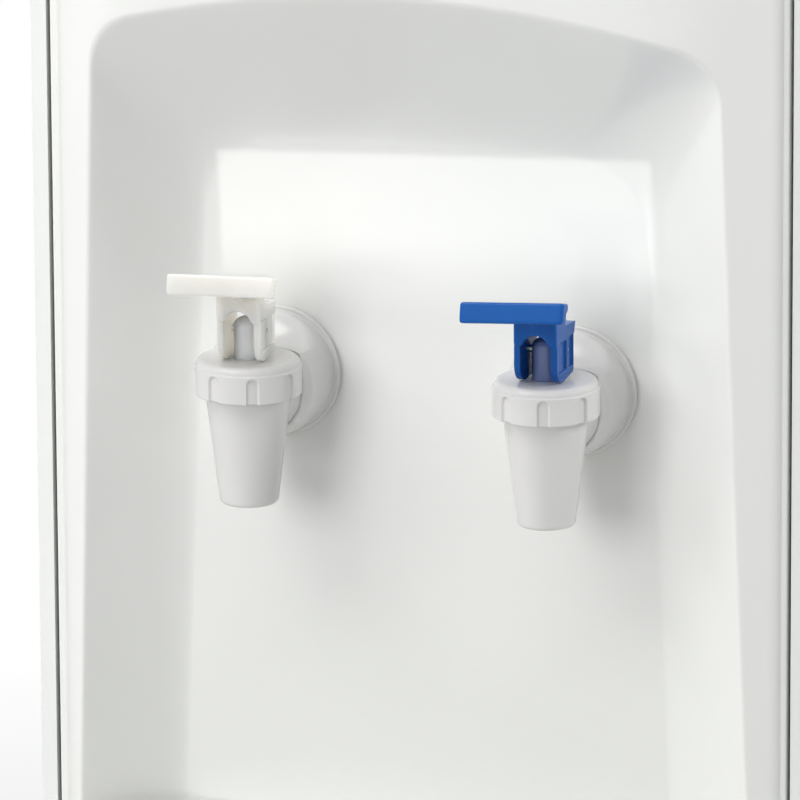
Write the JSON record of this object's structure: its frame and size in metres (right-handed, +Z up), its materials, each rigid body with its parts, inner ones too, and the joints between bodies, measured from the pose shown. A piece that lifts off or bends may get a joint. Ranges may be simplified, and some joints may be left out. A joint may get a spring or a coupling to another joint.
{
  "type": "top load water cooler",
  "caption": "Floor-standing top load water cooler with an arched tap alcove, lever taps over a drip tray, a storage door and a bottle seat on top.",
  "frame": {"origin": "centre of the footprint, tray front to condenser, on the floor under the feet", "axes": "+X to the right seen from the front, -Y out of the front, +Z up"},
  "size_m": [0.3, 0.4134, 0.9735],
  "materials": {
    "case_white": "gloss",
    "front_white": "gloss",
    "grille_white": "satin",
    "inner_white": "satin",
    "tap_white": "gloss",
    "lever_ivory": "gloss",
    "lever_blue": "gloss",
    "zinc_steel": "satin",
    "stainless": "satin",
    "copper": "satin",
    "black_steel": "satin",
    "black_plastic": "satin",
    "black_rubber": "matte",
    "silicone": "satin",
    "foam": "matte"
  },
  "bodies": {
    "cabinet": {"side_panel_left": "case_white", "side_panel_right": "case_white", "front_fascia": "front_white", "top_cover": "front_white", "rear_panel": "case_white", "base_pan": "zinc_steel", "feet": "black_rubber", "door_hinges": "zinc_steel", "magnet_catch": "inner_white", "storage_liner": "inner_white", "tank_shelf": "zinc_steel", "cold_tank": "stainless", "tank_lid": "inner_white", "tank_baffle": "inner_white", "tank_insulation": "foam", "evaporator_coil": "copper", "ambient_tube": "silicone", "cold_tube": "silicone", "thermostat": "black_plastic", "capillary_tube": "copper", "compressor": "black_steel", "compressor_mounts": "black_rubber", "relay_cover": "black_plastic", "discharge_line": "copper", "suction_line": "copper", "filter_drier": "copper", "condenser_coil": "black_steel", "condenser_wires": "black_steel", "condenser_clips": "black_plastic", "drain_pipe": "silicone", "switch_frame": "black_plastic", "cord_gland": "black_plastic", "case_screws": "zinc_steel", "tap_body_left": "tap_white", "tap_body_right": "tap_white", "flange_cover_left": "tap_white", "flange_cover_right": "tap_white", "tap_cap_left": "tap_white", "tap_cap_right": "tap_white", "valve_spring_left": "stainless", "valve_spring_right": "stainless", "tap_gaskets": "black_rubber", "tap_nuts": "inner_white"},
    "door": {"door": "front_white", "door_magnet": "zinc_steel"},
    "drip_tray": {"drip_tray": "front_white"},
    "drip_grille": {"drip_grille": "grille_white"},
    "bottle_seat": {"bottle_seat": "front_white", "feed_probe": "inner_white"},
    "drain_plug": {"drain_plug": "inner_white"},
    "power_rocker": {"power_switch": "black_plastic"},
    "thermostat_dial": {"thermostat_knob": "black_plastic"},
    "stem_left": {"tap_stem_left": "tap_white", "valve_seal_left": "silicone"},
    "stem_right": {"tap_stem_right": "tap_white", "valve_seal_right": "silicone"},
    "lever_left": {"tap_lever_left": "lever_ivory", "lever_pin_left": "stainless"},
    "lever_right": {"tap_lever_right": "lever_blue", "lever_pin_right": "stainless"}
  },
  "joints": [
    {"name": "door_hinge", "type": "hinge", "parent": "cabinet", "child": "door", "pos_m": [0.1346, -0.1169, 0.26], "axis": [0, 0, 1], "range_deg": [0, 110]},
    {"name": "drip_tray_lift", "type": "slide", "parent": "cabinet", "child": "drip_tray", "axis": [0, 0, 1], "range_m": [0, 0.007]},
    {"name": "drip_grille_lift", "type": "slide", "parent": "drip_tray", "child": "drip_grille", "axis": [0, 0, 1], "range_m": [0, 0.04]},
    {"name": "bottle_seat_lift", "type": "slide", "parent": "cabinet", "child": "bottle_seat", "axis": [0, 0, 1], "range_m": [0, 0.08]},
    {"name": "drain_plug_pull", "type": "slide", "parent": "cabinet", "child": "drain_plug", "axis": [0, 1, 0], "range_m": [0, 0.03]},
    {"name": "power_rocker_tilt", "type": "hinge", "parent": "cabinet", "child": "power_rocker", "pos_m": [-0.084, 0.1813, 0.26], "axis": [1, 0, 0], "range_deg": [-16, 0]},
    {"name": "thermostat_turn", "type": "hinge", "parent": "cabinet", "child": "thermostat_dial", "pos_m": [-0.04, 0.1911, 0.26], "axis": [0, 1, 0], "range_deg": [0, 270]},
    {"name": "stem_left_lift", "type": "slide", "parent": "cabinet", "child": "stem_left", "axis": [0, 0, 1], "range_m": [0, 0.0016], "deforming": ["valve_spring_left"]},
    {"name": "lever_left_press", "type": "hinge", "parent": "stem_left", "child": "lever_left", "pos_m": [-0.0575, -0.1405, 0.7527], "axis": [1, 0, 0], "range_deg": [0, 20], "stiffness_Nm_per_rad": 0.6},
    {"name": "stem_right_lift", "type": "slide", "parent": "cabinet", "child": "stem_right", "axis": [0, 0, 1], "range_m": [0, 0.0016], "deforming": ["valve_spring_right"]},
    {"name": "lever_right_press", "type": "hinge", "parent": "stem_right", "child": "lever_right", "pos_m": [0.0575, -0.1405, 0.7527], "axis": [1, 0, 0], "range_deg": [0, 20], "stiffness_Nm_per_rad": 0.6}
  ],
  "couplings": [
    {"joint": "stem_left_lift", "follows": "lever_left_press", "m_per_rad": 0.0045},
    {"joint": "stem_right_lift", "follows": "lever_right_press", "m_per_rad": 0.0045}
  ]
}
